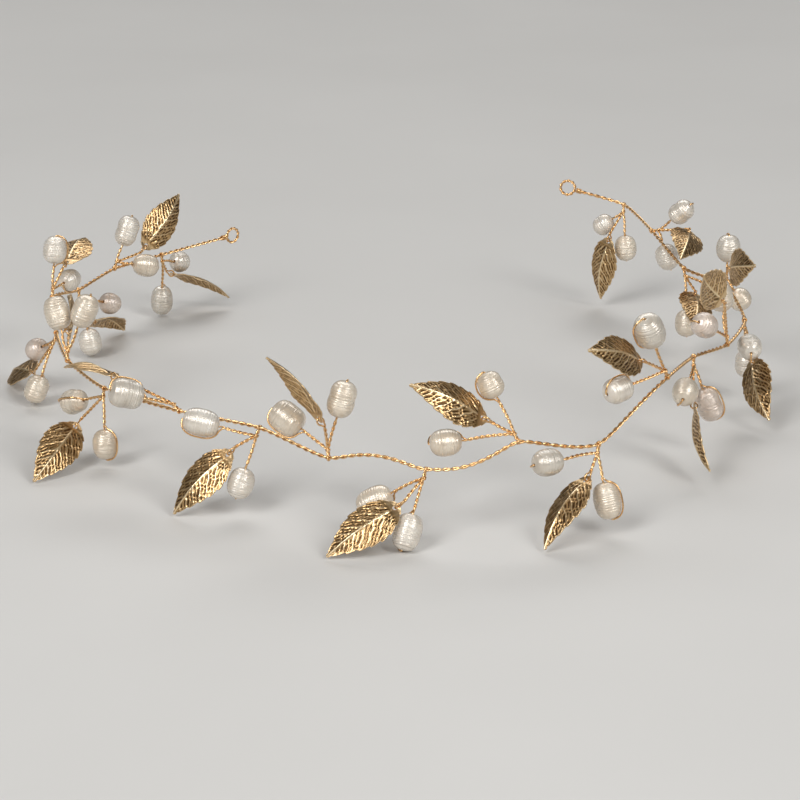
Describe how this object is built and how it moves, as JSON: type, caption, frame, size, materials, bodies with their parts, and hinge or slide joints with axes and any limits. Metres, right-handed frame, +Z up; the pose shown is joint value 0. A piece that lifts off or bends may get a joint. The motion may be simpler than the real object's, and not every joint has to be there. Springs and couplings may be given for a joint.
{
  "type": "wire hair vine tiara",
  "caption": "Twisted-wire hair vine tiara, open at the back, carrying sprigs of rice pearls and stamped leaves, with a small wire eye at each end.",
  "frame": {"origin": "under the middle of the tiara's outline, on the surface that its hanging leaf tips stand on", "axes": "+Z up, -Y towards the front of the tiara, +Y towards its open back, +X towards the wearer's left"},
  "size_m": [0.1725, 0.1662, 0.0422],
  "materials": {
    "gold_wire": "gold-coloured craft wire, two strands twisted together, bright",
    "rice_pearl": "freshwater rice pearl, satin lustre with fine rings round its length",
    "gold_leaf": "stamped champagne-gold sheet with raised veins and a serrated edge"
  },
  "bodies": {
    "root": {"vine_wire": "gold_wire", "end_eye_left": "gold_wire", "end_eye_right": "gold_wire", "stems_left": "gold_wire", "stems_front": "gold_wire", "stems_right": "gold_wire", "pearl_wires_left": "gold_wire", "pearl_wires_front": "gold_wire", "pearl_wires_right": "gold_wire", "leaf_eyes_left": "gold_wire", "leaf_eyes_front": "gold_wire", "leaf_eyes_right": "gold_wire", "sprig_01_pearls": "rice_pearl", "sprig_02_pearls": "rice_pearl", "sprig_03_pearls": "rice_pearl", "sprig_04_pearls": "rice_pearl", "sprig_05_pearls": "rice_pearl", "sprig_06_pearls": "rice_pearl", "sprig_07_pearls": "rice_pearl", "sprig_08_pearls": "rice_pearl", "sprig_09_pearls": "rice_pearl", "sprig_10_pearls": "rice_pearl", "sprig_11_pearls": "rice_pearl", "sprig_12_pearls": "rice_pearl", "sprig_13_pearls": "rice_pearl", "sprig_14_pearls": "rice_pearl", "sprig_15_pearls": "rice_pearl", "sprig_16_pearls": "rice_pearl", "sprig_17_pearls": "rice_pearl", "sprig_18_pearls": "rice_pearl", "sprig_19_pearls": "rice_pearl", "sprig_20_pearls": "rice_pearl", "sprig_21_pearls": "rice_pearl"},
    "leaf_01": {"sprig_01_leaf": "gold_leaf"},
    "leaf_02": {"sprig_02_leaf": "gold_leaf"},
    "leaf_03": {"sprig_03_leaf": "gold_leaf"},
    "leaf_04": {"sprig_04_leaf": "gold_leaf"},
    "leaf_05": {"sprig_05_leaf": "gold_leaf"},
    "leaf_06": {"sprig_06_leaf": "gold_leaf"},
    "leaf_07": {"sprig_07_leaf": "gold_leaf"},
    "leaf_08": {"sprig_08_leaf": "gold_leaf"},
    "leaf_09": {"sprig_09_leaf": "gold_leaf"},
    "leaf_10": {"sprig_10_leaf": "gold_leaf"},
    "leaf_11": {"sprig_11_leaf": "gold_leaf"},
    "leaf_12": {"sprig_12_leaf": "gold_leaf"},
    "leaf_13": {"sprig_13_leaf": "gold_leaf"},
    "leaf_14": {"sprig_14_leaf": "gold_leaf"},
    "leaf_15": {"sprig_15_leaf": "gold_leaf"},
    "leaf_16": {"sprig_16_leaf": "gold_leaf"},
    "leaf_17": {"sprig_17_leaf": "gold_leaf"},
    "leaf_18": {"sprig_18_leaf": "gold_leaf"},
    "leaf_19": {"sprig_19_leaf": "gold_leaf"},
    "leaf_20": {"sprig_20_leaf": "gold_leaf"},
    "leaf_21": {"sprig_21_leaf": "gold_leaf"}
  },
  "joints": [
    {"name": "leaf_01_swing", "type": "hinge", "parent": "root", "child": "leaf_01", "pos_m": [-0.05249, 0.07044, 0.0105], "axis": [0.2873, 0.4984, 0.8179], "range_deg": [-20, 20]},
    {"name": "leaf_02_swing", "type": "hinge", "parent": "root", "child": "leaf_02", "pos_m": [-0.05786, 0.05725, 0.022], "axis": [0.66, -0.7038, 0.2629], "range_deg": [-20, 20]},
    {"name": "leaf_03_swing", "type": "hinge", "parent": "root", "child": "leaf_03", "pos_m": [-0.06894, 0.04226, 0.0075], "axis": [-0.1804, 0.5018, 0.846], "range_deg": [-20, 20]},
    {"name": "leaf_04_swing", "type": "hinge", "parent": "root", "child": "leaf_04", "pos_m": [-0.07288, 0.0259, 0.027], "axis": [-0.0096, -0.0612, 0.9981], "range_deg": [-20, 20]},
    {"name": "leaf_05_swing", "type": "hinge", "parent": "root", "child": "leaf_05", "pos_m": [-0.07967, 0.00966, 0.006], "axis": [-0.6555, -0.0072, 0.7551], "range_deg": [-20, 20]},
    {"name": "leaf_06_swing", "type": "hinge", "parent": "root", "child": "leaf_06", "pos_m": [-0.0684, -0.00769, 0.022], "axis": [0.9885, 0.1459, -0.0394], "range_deg": [-20, 20]},
    {"name": "leaf_07_swing", "type": "hinge", "parent": "root", "child": "leaf_07", "pos_m": [-0.06465, -0.03098, 0.008], "axis": [0.3976, -0.6392, 0.6583], "range_deg": [-20, 20]},
    {"name": "leaf_08_swing", "type": "hinge", "parent": "root", "child": "leaf_08", "pos_m": [-0.05478, -0.04527, 0.0245], "axis": [0.1268, 0.3216, 0.9383], "range_deg": [-20, 20]},
    {"name": "leaf_09_swing", "type": "hinge", "parent": "root", "child": "leaf_09", "pos_m": [-0.03037, -0.05865, 0.0125], "axis": [-0.4512, -0.6992, 0.5545], "range_deg": [-20, 20]},
    {"name": "leaf_10_swing", "type": "hinge", "parent": "root", "child": "leaf_10", "pos_m": [-0.01195, -0.06886, 0.024], "axis": [0.6455, 0.5225, 0.5571], "range_deg": [-10, 20]},
    {"name": "leaf_11_swing", "type": "hinge", "parent": "root", "child": "leaf_11", "pos_m": [0.00305, -0.07688, 0.0085], "axis": [-0.137, -0.7062, 0.6946], "range_deg": [-20, 20]},
    {"name": "leaf_12_swing", "type": "hinge", "parent": "root", "child": "leaf_12", "pos_m": [0.01993, -0.07123, 0.025], "axis": [0.4638, -0.5752, 0.6739], "range_deg": [-20, 20]},
    {"name": "leaf_13_swing", "type": "hinge", "parent": "root", "child": "leaf_13", "pos_m": [0.04032, -0.07013, 0.0115], "axis": [-0.6071, -0.3268, 0.7243], "range_deg": [-20, 20]},
    {"name": "leaf_14_swing", "type": "hinge", "parent": "root", "child": "leaf_14", "pos_m": [0.05147, -0.05451, 0.031], "axis": [0.6956, -0.4193, 0.5834], "range_deg": [-20, 20]},
    {"name": "leaf_15_swing", "type": "hinge", "parent": "root", "child": "leaf_15", "pos_m": [0.06598, -0.03204, 0.0125], "axis": [-0.9894, -0.0786, -0.122], "range_deg": [-20, 20]},
    {"name": "leaf_16_swing", "type": "hinge", "parent": "root", "child": "leaf_16", "pos_m": [0.07242, -0.01964, 0.0325], "axis": [-0.7879, 0.5528, 0.2714], "range_deg": [-20, 20]},
    {"name": "leaf_17_swing", "type": "hinge", "parent": "root", "child": "leaf_17", "pos_m": [0.08234, -0.00118, 0.012], "axis": [-0.7836, -0.4214, 0.4566], "range_deg": [-20, 20]},
    {"name": "leaf_18_swing", "type": "hinge", "parent": "root", "child": "leaf_18", "pos_m": [0.07949, 0.01992, 0.0275], "axis": [-0.9747, -0.1808, 0.1317], "range_deg": [-20, 20]},
    {"name": "leaf_19_swing", "type": "hinge", "parent": "root", "child": "leaf_19", "pos_m": [0.0736, 0.03588, 0.016], "axis": [0.3904, -0.2268, 0.8923], "range_deg": [-20, 20]},
    {"name": "leaf_20_swing", "type": "hinge", "parent": "root", "child": "leaf_20", "pos_m": [0.07313, 0.0495, 0.0275], "axis": [0.4207, -0.2136, 0.8817], "range_deg": [-20, 20]},
    {"name": "leaf_21_swing", "type": "hinge", "parent": "root", "child": "leaf_21", "pos_m": [0.05626, 0.07426, 0.018], "axis": [-0.7836, -0.6179, -0.064], "range_deg": [-20, 20]}
  ]
}
